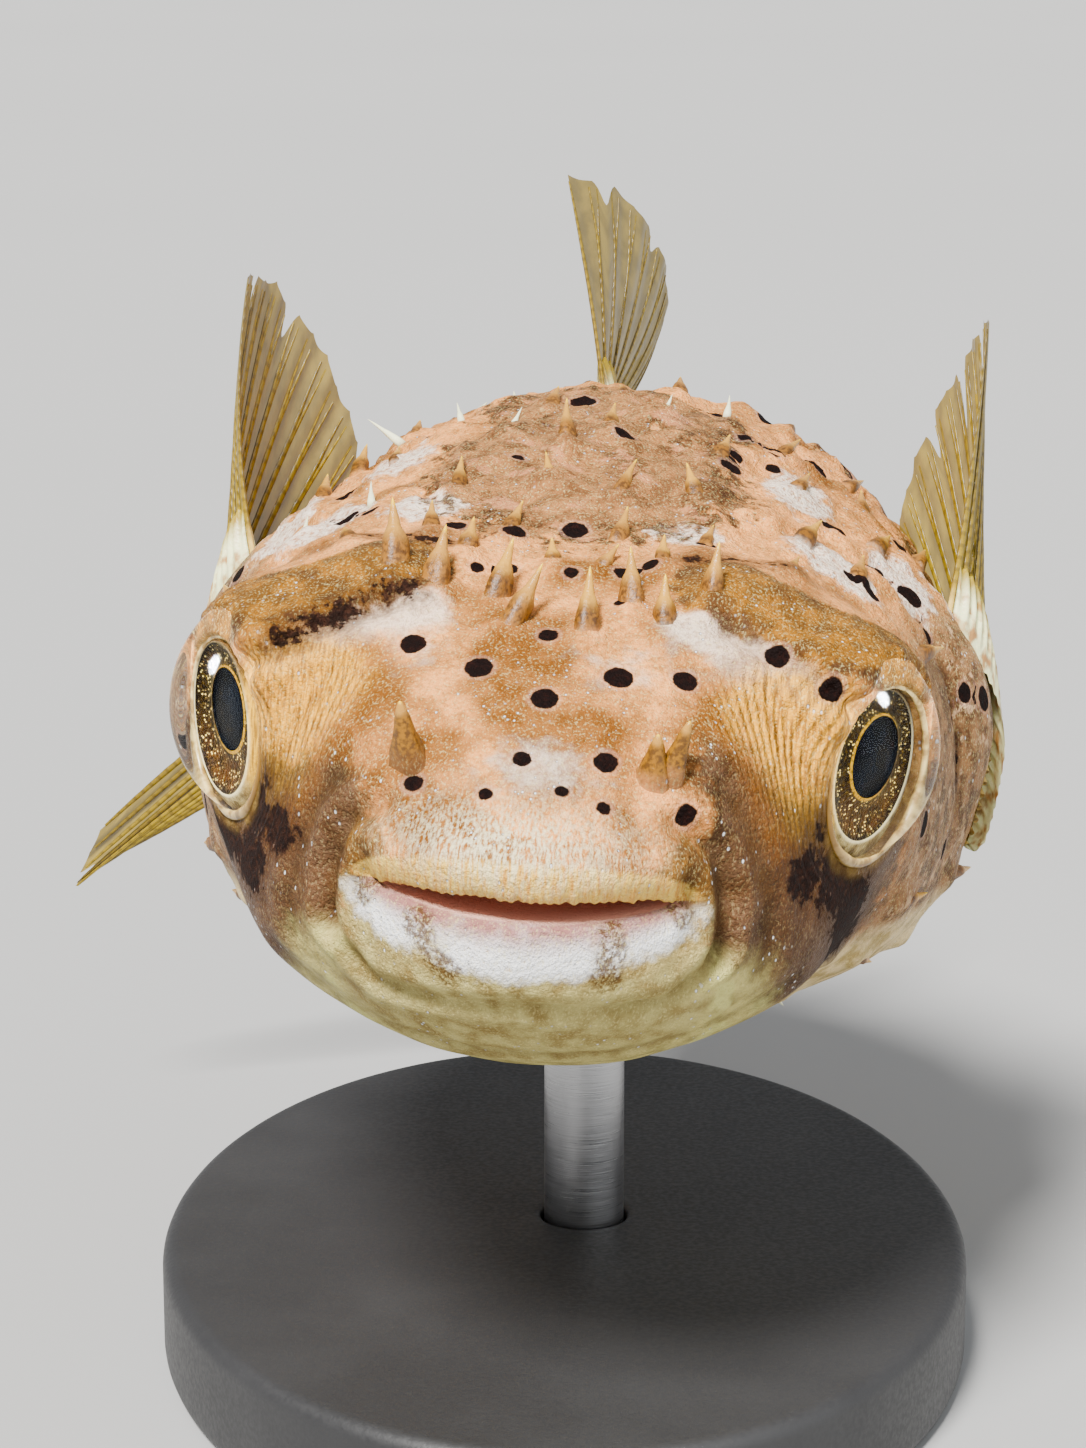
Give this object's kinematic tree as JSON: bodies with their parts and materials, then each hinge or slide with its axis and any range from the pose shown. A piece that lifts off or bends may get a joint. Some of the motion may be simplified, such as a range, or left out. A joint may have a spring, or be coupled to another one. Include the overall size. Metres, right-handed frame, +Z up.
{
  "type": "porcupinefish model on a display stand",
  "caption": "Spotted porcupinefish seen as if hovering, head broad, eyes large, fins raised and tail folded to one side, held over a plain oval base by a short rod.",
  "frame": {"origin": "centre of the underside of the stand's base, on the surface that it stands on", "axes": "+Z up; -Y is the way the fish faces; +X is the fish's left"},
  "size_m": [0.0744, 0.1007, 0.0828],
  "materials": {
    "skin": "satin, tan and ochre with dark brown spots and a pale belly",
    "eye": "clear gloss over a dark gold iris and a blue-black pupil",
    "fin": "satin, olive-yellow rays",
    "stand": "matte charcoal",
    "rod": "brushed"
  },
  "bodies": {
    "root": {"head": "skin", "trunk": "skin", "tail": "skin", "eye_left": "eye", "eye_right": "eye", "pectoral_fin_left": "fin", "pectoral_fin_right": "fin", "dorsal_fin": "fin", "anal_fin": "fin", "caudal_fin": "fin", "stand_base": "stand", "stand_rod": "rod"}
  },
  "joints": []
}
